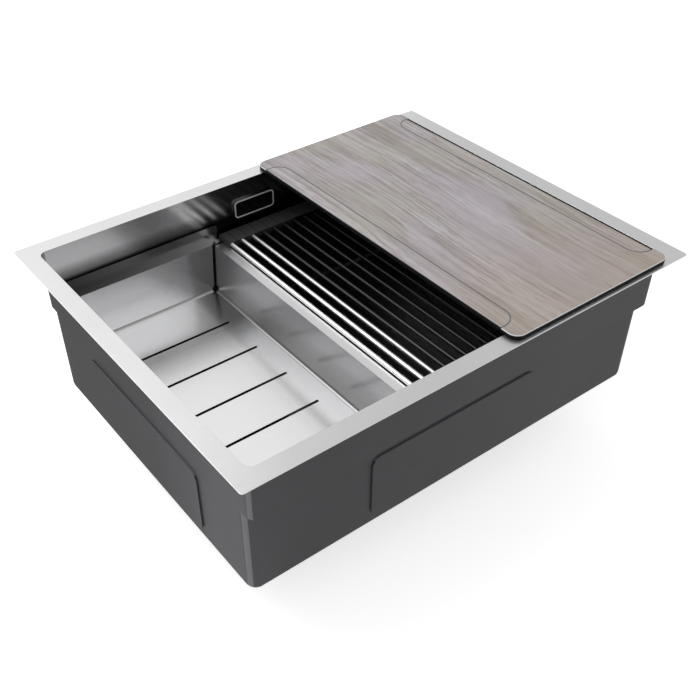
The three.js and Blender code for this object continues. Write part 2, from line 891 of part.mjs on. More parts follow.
const matUnder = ledgeTop + seatGap;
const matTop = matUnder + mat.blockHeight;
const barHeight = matUnder + mat.blockHeight / 2;
const matLeft = colanderRight + mat.colanderGap;
const firstBar = matLeft + mat.edgeWall + mat.barRadius;
const matHalfY = opening.halfY - mat.wallGap;
const barHalfY = matHalfY - mat.barInBlock;
const barX = (index) => firstBar + index * mat.pitch;
const fixedBars = mat.bars - mat.links;

// The silicone end of the bars from one index to another, at the back or the front.
function makeBlock(first, last, side) {
  const halfPitch = mat.pitch / 2;
  const halfGap = mat.hingeGap / 2;
  const lowX = first === 0 ? matLeft : barX(first) - halfPitch + halfGap;
  const highX = barX(last) + halfPitch - halfGap;
  const innerY = matHalfY - mat.blockLength;
  const bevel = mat.footBevel;
  const r = mat.endRadius;
  const profile = new THREE.Shape();
  profile.moveTo(innerY, matUnder);
  profile.lineTo(matHalfY - bevel, matUnder);
  profile.lineTo(matHalfY, matUnder + bevel);
  profile.absarc(matHalfY - r, matTop - r, r, 0, Math.PI / 2, false);
  profile.lineTo(innerY + bevel, matTop);
  profile.lineTo(innerY, matTop - bevel);
  profile.closePath();
  const whole = prismX(profile, lowX, highX, facets.slot);
  let block = side < 0 ? whole.mirror([0, 1, 0]) : whole;

  const boreRadius = mat.barRadius + mat.boreGap;
  const mouth = side * (innerY - past);
  const tip = side * (barHalfY + seatGap);
  for (let i = first; i <= last; i++) {
    const bore = circle(boreRadius, barX(i), barHeight);
    const drill = prismY(bore, Math.min(mouth, tip), Math.max(mouth, tip), facets.pipe);
    block = block.subtract(drill);
  }

  // Round notches at the outer edge and grooves on top part the blocks of the bars.
  const outside = side * (matHalfY + past);
  for (let i = first; i <= last + 1; i++) {
    const x = barX(i) - halfPitch;
    const low = matUnder - past;
    if (x > lowX - past) {
      const notch = cylinder(mat.notchRadius, low, matTop + past, x, side * matHalfY);
      block = block.subtract(notch);
    }
    if (i > first && i <= last) {
      const grooveFloor = matTop - mat.grooveDepth;
      const grooveTop = matTop + past;
      const groove = boxBetween(x - halfGap, x + halfGap, mouth, outside, grooveFloor, grooveTop);
      block = block.subtract(groove);
    }
  }
  return block;
}

function makeMat() {
  Object.entries({ back: 1, front: -1 }).forEach(([label, side]) => {
    place(`mat_strip_${label}`, makeBlock(0, fixedBars - 1, side), greySilicone);
    for (let link = 1; link <= mat.links; link++) {
      const bar = fixedBars + link - 1;
      place(`mat_end_${label}_${link}`, makeBlock(bar, bar, side), greySilicone);
    }
  });
  for (let i = 0; i < mat.bars; i++) {
    const section = circle(mat.barRadius, barX(i), barHeight);
    section.holes.push(circle(mat.barRadius - mat.barWall, barX(i), barHeight));
    const number = String(i + 1).padStart(2, "0");
    const bar = prismY(section, -barHalfY, barHalfY, facets.pipe);
    place(`mat_bar_${number}`, bar, polishedSteel);
  }
}

// --------------------------------------------------------------- cutting board

function makeBoard() {
  const right = opening.halfX - board.endGap;
  const centreX = right - board.width / 2;
  const halfX = board.width / 2;
  const halfY = rim.depth / 2 - board.rimMargin;
  const under = rimTop + seatGap;
  const seam = under + board.coreThickness;
  const topUnder = seam + board.glueLine;
  const top = topUnder + board.topThickness;
  const core = prism(roundedRect(halfX, halfY, board.cornerRadius, centreX), under, seam);
  const rings = [
    rectRing(halfX, halfY, board.cornerRadius, topUnder, centreX),
    rectRing(
      halfX - board.chamfer,
      halfY - board.chamfer,
      board.cornerRadius - board.chamfer,
      top,
      centreX,
    ),
  ];
  // A fine milled groove bounds the grip land along each long edge, where the layer is set back.
  const cuts = [-1, 1].flatMap((side) => {
    const edge = centreX + side * halfX;
    const land = (grow) =>
      roundedRect(
        board.gripWidth + grow,
        board.gripLength / 2 + grow,
        board.gripRadius + grow,
        edge,
      );
    const setback = roundedRect(
      board.gripSetback,
      board.gripLength / 2,
      board.gripSetback / 2,
      edge,
    );
    const outline = land(board.grooveWidth / 2);
    outline.holes.push(land(-board.grooveWidth / 2));
    return [
      prism(outline, top - board.grooveDepth, top + past),
      prism(setback, topUnder - past, top + past),
    ];
  });
  const layer = cuts.reduce((solid, cut) => solid.subtract(cut), loft(rings));
  place("board_core", core, blackCore);
  place("board_top", layer, woodLook);
}

makeRim();
makeUpperBowl();
makeLowerBowl();
makePads();
makeOverflow();
makeWaste();
makeBasket();
makeColander();
makeMat();
makeBoard();

export default sceneGroup;
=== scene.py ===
import json
import math

import bmesh
import bpy
from mathutils import Matrix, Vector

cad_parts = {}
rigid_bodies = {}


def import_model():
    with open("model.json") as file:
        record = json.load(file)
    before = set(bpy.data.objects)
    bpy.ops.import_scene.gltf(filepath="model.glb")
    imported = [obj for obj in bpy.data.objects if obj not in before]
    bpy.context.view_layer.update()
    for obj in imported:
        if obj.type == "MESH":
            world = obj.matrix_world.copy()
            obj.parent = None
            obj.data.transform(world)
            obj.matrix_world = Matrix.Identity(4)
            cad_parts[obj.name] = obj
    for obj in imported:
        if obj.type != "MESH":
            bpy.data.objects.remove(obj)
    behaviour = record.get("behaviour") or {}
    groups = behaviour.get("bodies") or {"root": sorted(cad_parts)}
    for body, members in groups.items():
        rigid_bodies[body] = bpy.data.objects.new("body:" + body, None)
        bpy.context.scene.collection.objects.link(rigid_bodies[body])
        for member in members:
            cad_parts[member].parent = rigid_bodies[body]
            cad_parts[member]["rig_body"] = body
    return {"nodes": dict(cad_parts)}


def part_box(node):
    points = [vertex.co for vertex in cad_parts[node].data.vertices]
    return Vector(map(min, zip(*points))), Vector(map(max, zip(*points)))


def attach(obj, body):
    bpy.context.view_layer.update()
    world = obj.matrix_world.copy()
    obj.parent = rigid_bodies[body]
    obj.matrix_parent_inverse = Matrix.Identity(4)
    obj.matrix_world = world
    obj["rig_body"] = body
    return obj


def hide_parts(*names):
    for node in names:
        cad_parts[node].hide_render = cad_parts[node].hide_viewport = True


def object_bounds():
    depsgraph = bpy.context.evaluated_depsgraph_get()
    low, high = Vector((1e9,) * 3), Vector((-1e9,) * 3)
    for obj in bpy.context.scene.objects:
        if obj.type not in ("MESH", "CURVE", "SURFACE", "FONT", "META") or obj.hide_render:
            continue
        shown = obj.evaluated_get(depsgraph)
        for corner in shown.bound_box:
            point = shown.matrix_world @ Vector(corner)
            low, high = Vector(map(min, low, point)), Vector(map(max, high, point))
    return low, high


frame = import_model()
cad_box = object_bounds()
nodes = frame["nodes"]
scene = bpy.context.scene

MM = 0.001
BARS = 14  # tubes of the draining mat
LINKS = 4  # the last of them, which roll up and have silicone ends of their own
SHEET = 1.5 * MM
OPENING_RADIUS = 10 * MM  # of the rim's opening, in plan
GLUE_GAP = 0.3 * MM  # between a pad and the wall it is glued to
SETBACK = 1.2 * MM  # of the wood-look layer's right edge at its grip lands, in the solids
SHOWN_SETBACK = 5.0 * MM  # and as dressed, so that the black core shows as a line
HAIR = 0.1 * MM  # places closer than this count as one

RIM_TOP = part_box("rim_plate")[1].z
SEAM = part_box("upper_wall_front")[1].x
WALL_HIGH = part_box("upper_wall_right")[1]
OPENING = (WALL_HIGH.x - SHEET, WALL_HIGH.y - SHEET)

X, Y, Z = range(3)
BLACK = (0.0, 0.0, 0.0)
NOISE_LOW = 0.3  # most values of a noise lie between these two
NOISE_HIGH = 0.7
BRUSH_ACROSS = 2600.0  # cells per metre across the lines of brushed steel
BRUSH_ALONG = 45.0
FINE_BUMP = 0.2 * MM
COARSE_BUMP = 0.3 * MM
STEEP = 0.5  # the normal of a wall has a smaller Z than this, up or down


# ------------------------------------------------------------------------- node helpers


class Shader:
    """A Principled material with short ways to add procedural nodes in the row frame."""

    def __init__(self, name, color, roughness, metallic=0.0, specular=0.5):
        self.material = bpy.data.materials.new(name)
        self.material.use_nodes = True
        self.tree = self.material.node_tree
        self.bsdf = self.tree.nodes["Principled BSDF"]
        self.bsdf.inputs["Base Color"].default_value = (*color, 1)
        self.bsdf.inputs["Roughness"].default_value = roughness
        self.bsdf.inputs["Metallic"].default_value = metallic
        self.bsdf.inputs["Specular IOR Level"].default_value = specular
        self.place = self.node("ShaderNodeTexCoord").outputs["Object"]

    def node(self, kind, **settings):
        made = self.tree.nodes.new(kind)
        for key, value in settings.items():
            setattr(made, key, value)
        return made

    def link(self, source, target):
        self.tree.links.new(source, target)

    def noise(self, cells, detail=3.0, rough=0.5, place=None):
        """Noise with so many cells per metre, the same all ways or one number for each axis."""
        mapping = self.node("ShaderNodeMapping")
        mapping.inputs["Scale"].default_value = (cells,) * 3 if isinstance(cells, float) else cells
        self.link(place or self.place, mapping.inputs["Vector"])
        made = self.node("ShaderNodeTexNoise")
        made.inputs["Scale"].default_value = 1.0
        made.inputs["Detail"].default_value = detail
        made.inputs["Roughness"].default_value = rough
        self.link(mapping.outputs["Vector"], made.inputs["Vector"])
        return made.outputs["Fac"]

    def span(self, value, low, high, start=NOISE_LOW, end=NOISE_HIGH):
        """Runs from low to high while value runs from start to end."""
        made = self.node("ShaderNodeMapRange")
        made.inputs["From Min"].default_value = start
        made.inputs["From Max"].default_value = end
        made.inputs["To Min"].default_value = low
        made.inputs["To Max"].default_value = high
        self.link(value, made.inputs["Value"])
        return made.outputs["Result"]

    def math(self, operation, a, b):
        made = self.node("ShaderNodeMath", operation=operation)
        for socket, value in zip(made.inputs, (a, b)):
            if isinstance(value, float):
                socket.default_value = value
            else:
                self.link(value, socket)
        return made.outputs["Value"]

    def ramp(self, value, stops):
        made = self.node("ShaderNodeValToRGB")
        elements = made.color_ramp.elements
        while len(elements) < len(stops):
            elements.new(0.5)
        for element, (position, color) in zip(elements, stops):
            element.position = position
            element.color = (*color, 1)
        self.link(value, made.inputs["Fac"])
        return made.outputs["Color"]

    def graded(self, across, stops):
        """A colour that runs through the stops, whose places are values of across(shader)."""
        start, end = stops[0][0], stops[-1][0]
        spots = [((place - start) / (end - start), color) for place, color in stops]
        return self.ramp(self.span(across(self), 0.0, 1.0, start, end), spots)

    def mix(self, factor, a, b):
        made = self.node("ShaderNodeMix", data_type="RGBA")
        sockets = (made.inputs[0], made.inputs[6], made.inputs[7])
        for socket, value in zip(sockets, (factor, a, b)):
            if isinstance(value, tuple):
                socket.default_value = (*value, 1)
            else:
                self.link(value, socket)
        return made.outputs[2]

    def bump(self, height, strength, distance):
        made = self.node("ShaderNodeBump")
        made.inputs["Strength"].default_value = strength
        made.inputs["Distance"].default_value = distance
        self.link(height, made.inputs["Height"])
        self.link(made.outputs["Normal"], self.bsdf.inputs["Normal"])

    def color(self, value):
        self.link(value, self.bsdf.inputs["Base Color"])

    def roughness(self, value):
        self.link(value, self.bsdf.inputs["Roughness"])


def srgb(*values):
    """Linear colour of sRGB values from 0 to 255."""
    made = []
    for value in values:
        v = value / 255
        made.append(v / 12.92 if v <= 0.04045 else ((v + 0.055) / 1.055) ** 2.4)
    return tuple(made)


def grey(level):
    """The linear colour of steel, which is slightly blue."""
    return (level, level, level * 1.01)


def axis(label):
    """The place along X, Y or Z, in metres, as a value that a ramp can run over."""

    def across(shader):
        split = shader.node("ShaderNodeSeparateXYZ")
        shader.link(shader.place, split.inputs[0])
        return split.outputs[label]

    return across


def sheared(shader):
    """Place along X that runs ahead towards the front, as the painted reflection on the colander
    does.
    """
    lead = 0.05
    x = axis("X")(shader)
    y = axis("Y")(shader)
    return shader.math("SUBTRACT", x, shader.math("MULTIPLY", y, lead))


def rim_light_diagonal(shader):
    """Distance from the diagonal of the rim, across which the rim's painted light runs from its
    darker front and right arms to its lighter left and back ones.
    """
    x = axis("X")(shader)
    y = axis("Y")(shader)
    across = shader.math("DIVIDE", y, cad_box[1].y)
    return shader.math("SUBTRACT", across, shader.math("DIVIDE", x, cad_box[1].x))


def steps(*stops):
    """Stops whose places are given in millimetres."""
    return [(place * MM, level) for place, level in stops]


# ---------------------------------------------------------------------------- materials


def steel(name, stops, roughness, brushed, across=None, spread=0.05, bump=0.02):
    """Steel brushed along one axis, whose level runs through stops over across(shader).

    Without across, stops is one level for the whole piece."""
    level = stops if across is None else max(tone for place, tone in stops)
    made = Shader(name, grey(level), roughness, metallic=1.0)
    cells = [BRUSH_ACROSS] * 3
    cells[brushed] = BRUSH_ALONG
    streaks = made.noise(cells, rough=0.6)
    clouds = made.noise(9.0, detail=2.0)
    broad = made.math("MULTIPLY", clouds, 0.3)
    uneven = made.math("ADD", made.math("MULTIPLY", streaks, 0.7), broad)
    made.roughness(made.span(uneven, roughness - spread, roughness + spread))
    tone = grey(level)
    if across is not None:
        tone = made.graded(across, [(place, grey(shade)) for place, shade in stops])
    worn = made.span(uneven, 0.07, 0.0)
    made.color(made.mix(worn, tone, BLACK))
    made.bump(streaks, bump, FINE_BUMP)
    return made.material


def coating(name, stops, across, specular=0.3):
    """Sprayed sound-deadening coat, whose level runs through stops over across(shader)."""
    middle = stops[len(stops) // 2][1]
    made = Shader(name, srgb(middle, middle - 1, middle + 2), 0.5, specular=specular)
    grain = made.noise(1500.0, detail=2.0)
    clouds = made.noise(14.0, rough=0.55)
    spots = [(place, srgb(level + 4, level + 3, level + 6)) for place, level in stops]
    shaded = made.math("MULTIPLY", clouds, 0.3)
    made.color(made.mix(shaded, made.graded(across, spots), BLACK))
    made.roughness(made.span(grain, 0.45, 0.58))
    made.bump(grain, 0.1, COARSE_BUMP)
    return made.material


def silicone():
    """The dark grey of the draining mat's ends."""
    made = Shader("silicone_grey", srgb(54, 54, 56), 0.5, specular=0.3)
    grain = made.noise(900.0, rough=0.6)
    made.color(made.mix(grain, srgb(48, 48, 50), srgb(60, 60, 62)))
    made.roughness(made.span(grain, 0.45, 0.6))
    made.bump(grain, 0.08, FINE_BUMP)
    return made.material


def moulded(name, level, roughness, specular=0.5):
    """Plain plastic or rubber of one grey, with a fine grain."""
    lit = srgb(level, level, level + 1)
    shade = level * 0.85
    made = Shader(name, lit, roughness, specular=specular)
    grain = made.noise(1100.0, detail=2.0)
    made.color(made.mix(grain, srgb(shade, shade, shade), lit))
    made.roughness(made.span(grain, roughness - 0.05, roughness + 0.07))
    made.bump(grain, 0.08, FINE_BUMP)
    return made.material


def wood():
    """Limed oak look: long grain along Y, broad pale bands, fine pores and cool patches."""
    made = Shader("limed_oak", srgb(178, 170, 167), 0.5, specular=0.3)
    waves = made.noise((5.0, 2.2, 1.0))
    split = made.node("ShaderNodeSeparateXYZ")
    made.link(made.place, split.inputs[0])
    bent = made.math("ADD", split.outputs["X"], made.math("MULTIPLY", waves, 50 * MM))
    rebuilt = made.node("ShaderNodeCombineXYZ")
    made.link(bent, rebuilt.inputs["X"])
    made.link(split.outputs["Y"], rebuilt.inputs["Y"])
    place = rebuilt.outputs["Vector"]
    bands = made.noise((26.0, 1.2, 1.0), rough=0.55, place=place)
    grain = made.noise((170.0, 6.0, 1.0), 5.0, 0.65, place)
    pores = made.noise((1200.0, 30.0, 1.0), rough=0.6, place=place)
    patches = made.noise((8.0, 5.0, 1.0), detail=2.0)
    base = made.ramp(
        bands,
        [
            (0.30, srgb(150, 142, 139)),
            (0.43, srgb(178, 171, 170)),
            (0.56, srgb(194, 189, 190)),
            (0.70, srgb(203, 199, 200)),
        ],
    )
    veins = made.span(grain, 0.0, 0.95, 0.45, 0.62)
    veined = made.mix(veins, base, srgb(148, 139, 135))
    dots = made.span(pores, 0.0, 0.9, 0.54, 0.66)
    pored = made.mix(dots, veined, srgb(116, 108, 106))
    cool = made.span(patches, 0.0, 0.5, 0.48, 0.62)
    lilac = made.mix(cool, pored, srgb(187, 179, 191))
    mossy = made.span(patches, 0.4, 0.0, 0.38, 0.5)
    green = made.mix(mossy, lilac, srgb(176, 173, 160))
    near = made.span(split.outputs["Y"], 0.5, 0.0, -250 * MM, -20 * MM)
    made.color(made.mix(near, green, srgb(176, 160, 142)))
    made.roughness(made.span(grain, 0.45, 0.6))
    made.bump(made.math("SUBTRACT", grain, pores), 0.08, COARSE_BUMP)
    return made.material


def cut_edge(name, level):
    """The blue-grey of the wood-look layer where it is milled, at a given level: the pale copy is a
    painted highlight on the chamfer and the dark one painted shade in the grooves.
    """
    contrast = 8
    made = Shader(name, srgb(level, level + 5, level + 9), 0.45)
    grain = made.noise((900.0, 60.0, 900.0), detail=2.0)
    dark, pale = level - contrast, level + contrast
    low = srgb(dark, dark + 5, dark + 9)
    made.color(made.mix(grain, low, srgb(pale, pale + 5, pale + 9)))
    made.roughness(made.span(grain, 0.4, 0.55))
    return made.material


# The levels that follow are painted light, shade and reflection: they darken or lighten a piece
# along one direction. Places in steps() are millimetres of the row frame.

# Painted light: the rim's left and back arms lighter than its front and right ones.
rim_steel_painted_light = steel(
    "rim_steel_painted_light",
    [(-0.6, 0.53), (-0.15, 0.58), (0.1, 0.67), (0.35, 0.73), (2.0, 0.77)],
    0.36,
    X,
    rim_light_diagonal,
)
# Painted shade and reflection: the upper walls darker towards the bottom, darkest in a band about
# 50 mm down.
wall_steel_painted_shade = steel(
    "wall_steel_painted_shade",
    steps(
        (-72, 0.06),
        (-50, 0.03),
        (-47, 0.03),
        (-45, 0.11),
        (-38, 0.22),
        (-32, 0.38),
        (-26, 0.56),
        (0, 0.56),
    ),
    0.17,
    X,
    axis("Z"),
    spread=0.03,
)
# Painted shade: the lower bowl's steel is much darker than the rest, so that it shows dark under
# the mat.
deep_steel_painted_shade = steel("deep_steel_painted_shade", 0.13, 0.34, X, spread=0.02, bump=0.0)
# Painted light and reflection: the colander lighter at its left end and darker towards the right.
tray_steel_painted_light = steel(
    "tray_steel_painted_light",
    steps(
        (-300, 0.82),
        (-180, 0.80),
        (-140, 0.75),
        (-122, 0.66),
        (-112, 0.44),
        (-98, 0.36),
        (-85, 0.31),
        (-50, 0.28),
    ),
    0.22,
    X,
    sheared,
    spread=0.04,
)
# Painted shade: the inner side of the colander's right end wall darker towards the floor.
end_steel = steel(
    "end_steel",
    steps((-141, 0.20), (-137, 0.27), (-134, 0.62), (-118, 0.62), (-70, 0.60)),
    0.22,
    Y,
    axis("Z"),
    spread=0.03,
)
# Painted light and shade: the colander's lip darker than its floor and lighter towards its right
# end.
lip_steel_painted_light = steel(
    "lip_steel_painted_light",
    steps((-300, 0.56), (-80, 0.56), (-62, 0.64), (-50, 0.66)),
    0.24,
    X,
    axis("X"),
    spread=0.04,
)
# Painted shade: the bend between the colander's walls and floor darker than the floor.
fold_steel_painted_shade = steel("fold_steel_painted_shade", 0.34, 0.3, X, spread=0.02, bump=0.0)
shaded_steel = steel("shaded_steel", 0.02, 0.3, X, spread=0.02, bump=0.0)
# Painted reflection and shade: the colander's upstands very dark, lighter towards their right ends.
upstand_steel_painted_reflection = steel(
    "upstand_steel_painted_reflection",
    steps((-300, 0.035), (-270, 0.04), (-200, 0.083), (-120, 0.145), (-50, 0.27)),
    0.22,
    X,
    axis("X"),
    spread=0.03,
)
# Painted reflection: the dark steel of the overflow cover's recessed panel and sides.
dark_reflection_steel = steel("dark_reflection_steel", 0.10, 0.22, X, spread=0.03)
# Painted highlight: the pale raised border of the overflow cover.
painted_highlight_edge = moulded("painted_highlight_edge", 228, 0.3)
bright_steel = steel("bright_steel", 0.80, 0.12, Z, spread=0.03, bump=0.01)
# Painted light and shade: the mat's first bars bright, those towards the board nearly black.
tube_steel_painted_light = steel(
    "tube_steel_painted_light",
    steps((-50, 1.0), (-24, 0.95), (-14, 0.62), (-5, 0.56), (1, 0.045), (190, 0.012)),
    0.36,
    Y,
    axis("X"),
    spread=0.04,
)
# Painted shade: the coat darker towards the right end.
grey_coating_painted_shade = coating(
    "grey_coating_painted_shade",
    steps((-304, 64), (-278, 58), (-258, 55), (-230, 52), (150, 52), (316, 38)),
    axis("X"),
)
# Painted light: a lit copy of the coat for the left side, lighter towards the front.
left_coating_painted_light = coating(
    "left_coating_painted_light",
    steps((-255, 96), (-160, 91), (-100, 75), (-34, 58), (34, 49), (190, 36)),
    axis("Y"),
    specular=0.08,
)
# Painted highlight: a lighter coat for the strips on the rounded corners and for the pads' tops.
painted_highlight_coating = coating("painted_highlight_coating", steps((-304, 116), (304, 100)), axis("X"))
grey_silicone = silicone()
black_rubber = moulded("rubber_black_and_painted_shade", 38, 0.6)
black_plastic = moulded("plastic_black", 32, 0.42)
black_core = moulded("core_black", 7, 0.55, specular=0.12)
limed_oak = wood()
# Painted highlight: the pale blue-grey of the chamfer; painted shade: the darker one of the
# grooves.
milled = cut_edge("milled_edge_painted_highlight", 226)
grooved_painted_shade = cut_edge("milled_groove_painted_shade", 118)


# ----------------------------------------------------------------------------- dressing


def cleaned(mesh, angle, seams, eased):
    """Joins split corners, merges flat facets, marks the true edges and the eased ones."""
    joined = 0.002 * MM
    flat = math.radians(0.4)
    work = bmesh.new()
    work.from_mesh(mesh)
    bmesh.ops.remove_doubles(work, verts=work.verts, dist=joined)
    bmesh.ops.delete(work, geom=[face for face in work.faces if seams(face)], context="FACES")
    bmesh.ops.dissolve_limit(
        work,
        angle_limit=flat,
        verts=work.verts,
        edges=work.edges,
        use_dissolve_boundaries=False,
    )
    weight = work.edges.layers.float.new("bevel_weight_edge")
    for edge in work.edges:
        edge.smooth = edge.is_manifold and edge.calc_face_angle(0) < math.radians(angle)
        edge[weight] = 1.0 if not edge.smooth and edge.is_manifold and eased(edge) else 0.0
    for face in work.faces:
        face.smooth = True
    work.to_mesh(mesh)
    work.free()


def never(face):
    return False


def always(edge):
    return True


def dressed(names, material, bevel, segments=2, angle=32, seams=never, eased=always):
    """A copy of one node, or of several welded ones, which stands for them.

    Its edges sharper than angle, in degrees, are eased by bevel, in millimetres."""
    if isinstance(names, str):
        names = [names]
    work = bmesh.new()
    for name in names:
        work.from_mesh(nodes[name].data)
    mesh = bpy.data.meshes.new(f"{names[0]}_mesh")
    work.to_mesh(mesh)
    work.free()
    cleaned(mesh, angle, seams, eased)
    mesh.materials.clear()
    mesh.materials.append(material)
    mesh.polygons.foreach_set("material_index", [0] * len(mesh.polygons))
    piece = bpy.data.objects.new(f"{names[0]}_piece", mesh)
    scene.collection.objects.link(piece)
    if bevel:
        softened = piece.modifiers.new("eased_edges", "BEVEL")
        softened.width = bevel * MM
        softened.segments = segments
        softened.limit_method = "WEIGHT"
        softened.harden_normals = True
    level = piece.modifiers.new("flat_faces_stay_flat", "WEIGHTED_NORMAL")
    level.keep_sharp = True
    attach(piece, nodes[names[0]]["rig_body"])
    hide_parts(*names)
    return piece


def paint(piece, material, chosen):
    """Gives the faces that chosen(polygon) picks another material."""
    piece.data.materials.append(material)
    index = len(piece.data.materials) - 1
    for polygon in piece.data.polygons:
        if chosen(polygon):
            polygon.material_index = index


# ------------------------------------------------------------------------- rim and bowl


def past_opening(x, y):
    """How far a point lies outside the rim's opening, in plan."""
    dx = max(abs(x) - (OPENING[0] - OPENING_RADIUS), 0.0)
    dy = max(abs(y) - (OPENING[1] - OPENING_RADIUS), 0.0)
    return math.hypot(dx, dy) - OPENING_RADIUS


def all_past(edge, reach):
    return all(past_opening(vert.co.x, vert.co.y) > reach for vert in edge.verts)


def at_seam(face):
    """A face where two sheets of the upper walls meet, inside the weld."""
    in_weld = abs(abs(face.calc_center_median().x) - SEAM) < 0.1 * HAIR
    return in_weld and abs(face.normal.x) > 0.99


def on_corner(polygon, start, end):
    """An upright strip of each rounded corner, by its normal's turn from X in degrees."""
    nx, ny, nz = polygon.normal
    upright = abs(nz) < 0.3
    return upright and start < math.degrees(math.atan2(abs(ny), abs(nx))) < end


def faces_left(polygon):
    return polygon.normal.x < -0.8


def outside_upper(polygon):
    """The outer side and the underside of the upper walls, which the coat covers."""
    x, y = polygon.center.xy
    nz = polygon.normal.z
    return past_opening(x, y) > 0.7 * SHEET and abs(nz) < STEEP or nz < -STEEP


def outside_lower(polygon):
    """The outer side and the underside of the lower bowl, without the recess of the waste."""
    recess = 70 * MM
    x, y = polygon.center.xy
    nx, ny, nz = polygon.normal
    if abs(nz) > STEEP:
        return nz < 0
    return nx * x + ny * y > 0 and math.hypot(x, y) > recess


def coat(piece, outside, strip):
    """Sprays the outside; the left side takes a copy of the coat that shines less and carries
    painted light, and each rounded corner gets a strip of painted highlight.
    """
    paint(piece, grey_coating_painted_shade, outside)
    paint(piece, left_coating_painted_light, lambda polygon: outside(polygon) and faces_left(polygon))
    paint(piece, painted_highlight_coating, lambda polygon: outside(polygon) and on_corner(polygon, *strip))


dressed("rim_plate", rim_steel_painted_light, 0.25, eased=lambda edge: all_past(edge, 5 * MM))
upper = dressed(
    [f"upper_wall_{side}" for side in ("front", "back", "left", "right")],
    wall_steel_painted_shade,
    0.25,
    seams=at_seam,
    eased=lambda edge: not all_past(edge, 0.5 * SHEET),
)
coat(upper, outside_upper, strip=(20, 46))
paint(upper, rim_steel_painted_light, lambda polygon: polygon.center.z > RIM_TOP - HAIR)
# The lower bowl inside takes the painted shade of the dark steel.
lower = dressed("lower_bowl", deep_steel_painted_shade, 0.0, angle=40)
coat(lower, outside_lower, strip=(14, 46))


# --------------------------------------------------------------------------------- pads


def side_pad(side, across, glued):
    """A pad on one side of the bowl, brought to the wall over its layer of glue.

    across is the axis across the wall, and glued the end of the pad's box at the wall."""
    along = Y if across == X else X
    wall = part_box(f"pad_{side}")[glued][across]
    pad = dressed(
        f"pad_{side}",
        left_coating_painted_light if side == "left" else grey_coating_painted_shade,
        0.15,
        eased=lambda edge: any(abs(vert.co[across] - wall) > HAIR for vert in edge.verts),
    )
    for vertex in pad.data.vertices:
        if abs(vertex.co[across] - wall) < HAIR:
            vertex.co[across] += GLUE_GAP if glued else -GLUE_GAP

    def painted_shade_end(polygon):
        beside = abs(polygon.normal[across]) < 0.5
        upright = abs(polygon.normal.z) < 0.75
        return beside and upright and polygon.center[along] < 0

    # Painted shade: the end of the pad that is seen is black; painted highlight: its top faces
    # lighter.
    paint(pad, black_rubber, painted_shade_end)
    paint(pad, painted_highlight_coating, lambda polygon: polygon.normal.z > 0.75)


LOW_END, HIGH_END = range(2)
side_pad("front", Y, HIGH_END)
side_pad("back", Y, LOW_END)
side_pad("left", X, HIGH_END)
side_pad("right", X, LOW_END)
for side in ("left", "right"):
    dressed(f"pad_floor_{side}", grey_coating_painted_shade, 0.15)


# ----------------------------------------------------------- overflow, waste and basket

cover = dressed("overflow_cover", painted_highlight_edge, 0.25)
cover_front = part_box("overflow_cover")[0].y + 0.3 * MM
# Painted reflection and highlight: only the cover's raised front border stays pale, the rest is
# dark.
paint(
    cover,
    dark_reflection_steel,
    lambda polygon: polygon.normal.y > -0.9 or polygon.center.y > cover_front,
)
for name, material, slot, bevel in (
    ("overflow_gasket", black_rubber, "black_rubber", 0.2),
    ("overflow_housing", black_plastic, "black_plastic", 0.3),
    ("overflow_screw_left", bright_steel, "polished_steel", 0.15),
    ("overflow_screw_right", bright_steel, "polished_steel", 0.15),
    ("flange_seal", black_rubber, "black_rubber", 0.15),
    ("waste_flange", bright_steel, "polished_steel", 0.15),
    ("waste_gasket", black_rubber, "black_rubber", 0.3),
    ("waste_body", black_plastic, "black_plastic", 0.4),
    ("clamp_screw", bright_steel, "polished_steel", 0.2),
    ("basket_seal", black_rubber, "black_rubber", 0.3),
    ("basket_cup", bright_steel, "polished_steel", 0.15),
    ("basket_knob", bright_steel, "polished_steel", 0.3),
):
    dressed(name, material, bevel)


# ----------------------------------------------------------------------------- colander

tray_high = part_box("colander")[1]
tray_end = tray_high.x - 30 * MM
tray_side = tray_high.y - 5 * MM
tray = dressed(
    ["colander", "colander_upstand_front", "colander_upstand_back"], tray_steel_painted_light, 0.2
)


def end_wall(polygon):
    """The inner side of the wall at the colander's right end."""
    return polygon.center.x > tray_end and polygon.normal.x < -0.05


def bottom_fold(polygon):
    """The bend between the walls and the floor."""
    return 0.3 < polygon.normal.z < 0.97 and polygon.center.z < tray_high.z - 50 * MM


def upstand(polygon):
    return abs(polygon.center.y) > tray_side and abs(polygon.normal.y) > 0.9


def lip(polygon):
    return polygon.normal.z > 0.9 and polygon.center.z > tray_high.z - 3 * MM


def upstand_top(polygon):
    return polygon.normal.z > STEEP and polygon.center.z > tray_high.z + 3 * MM


# Painted light and shade on the colander: the end wall darker towards the floor, the bottom fold
# darker, the upstands dark, the lip lighter to the right, and the upstands' top edges near black as
# painted shadow.
paint(tray, end_steel, end_wall)
paint(tray, fold_steel_painted_shade, bottom_fold)
paint(tray, upstand_steel_painted_reflection, upstand)
paint(tray, lip_steel_painted_light, lip)
paint(tray, shaded_steel, upstand_top)


# ------------------------------------------------------------------------- draining mat

strip_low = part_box("mat_strip_back")[1].z - 0.15 * MM
blocks = [f"mat_strip_{label}" for label in ("back", "front")]
blocks += [f"mat_end_{label}_{link}" for label in ("back", "front") for link in range(1, LINKS + 1)]
for name in blocks:
    block = dressed(name, grey_silicone, 0.4)
    # Painted shade: the sides and underside of each silicone block are black, only its top is grey.
    paint(block, black_rubber, lambda polygon: polygon.center.z < strip_low)
for number in range(1, BARS + 1):
    # The bars take painted light and shade, from bright to nearly black towards the board.
    dressed(f"mat_bar_{number:02d}", tube_steel_painted_light, 0.1)


# -------------------------------------------------------------------------------- board

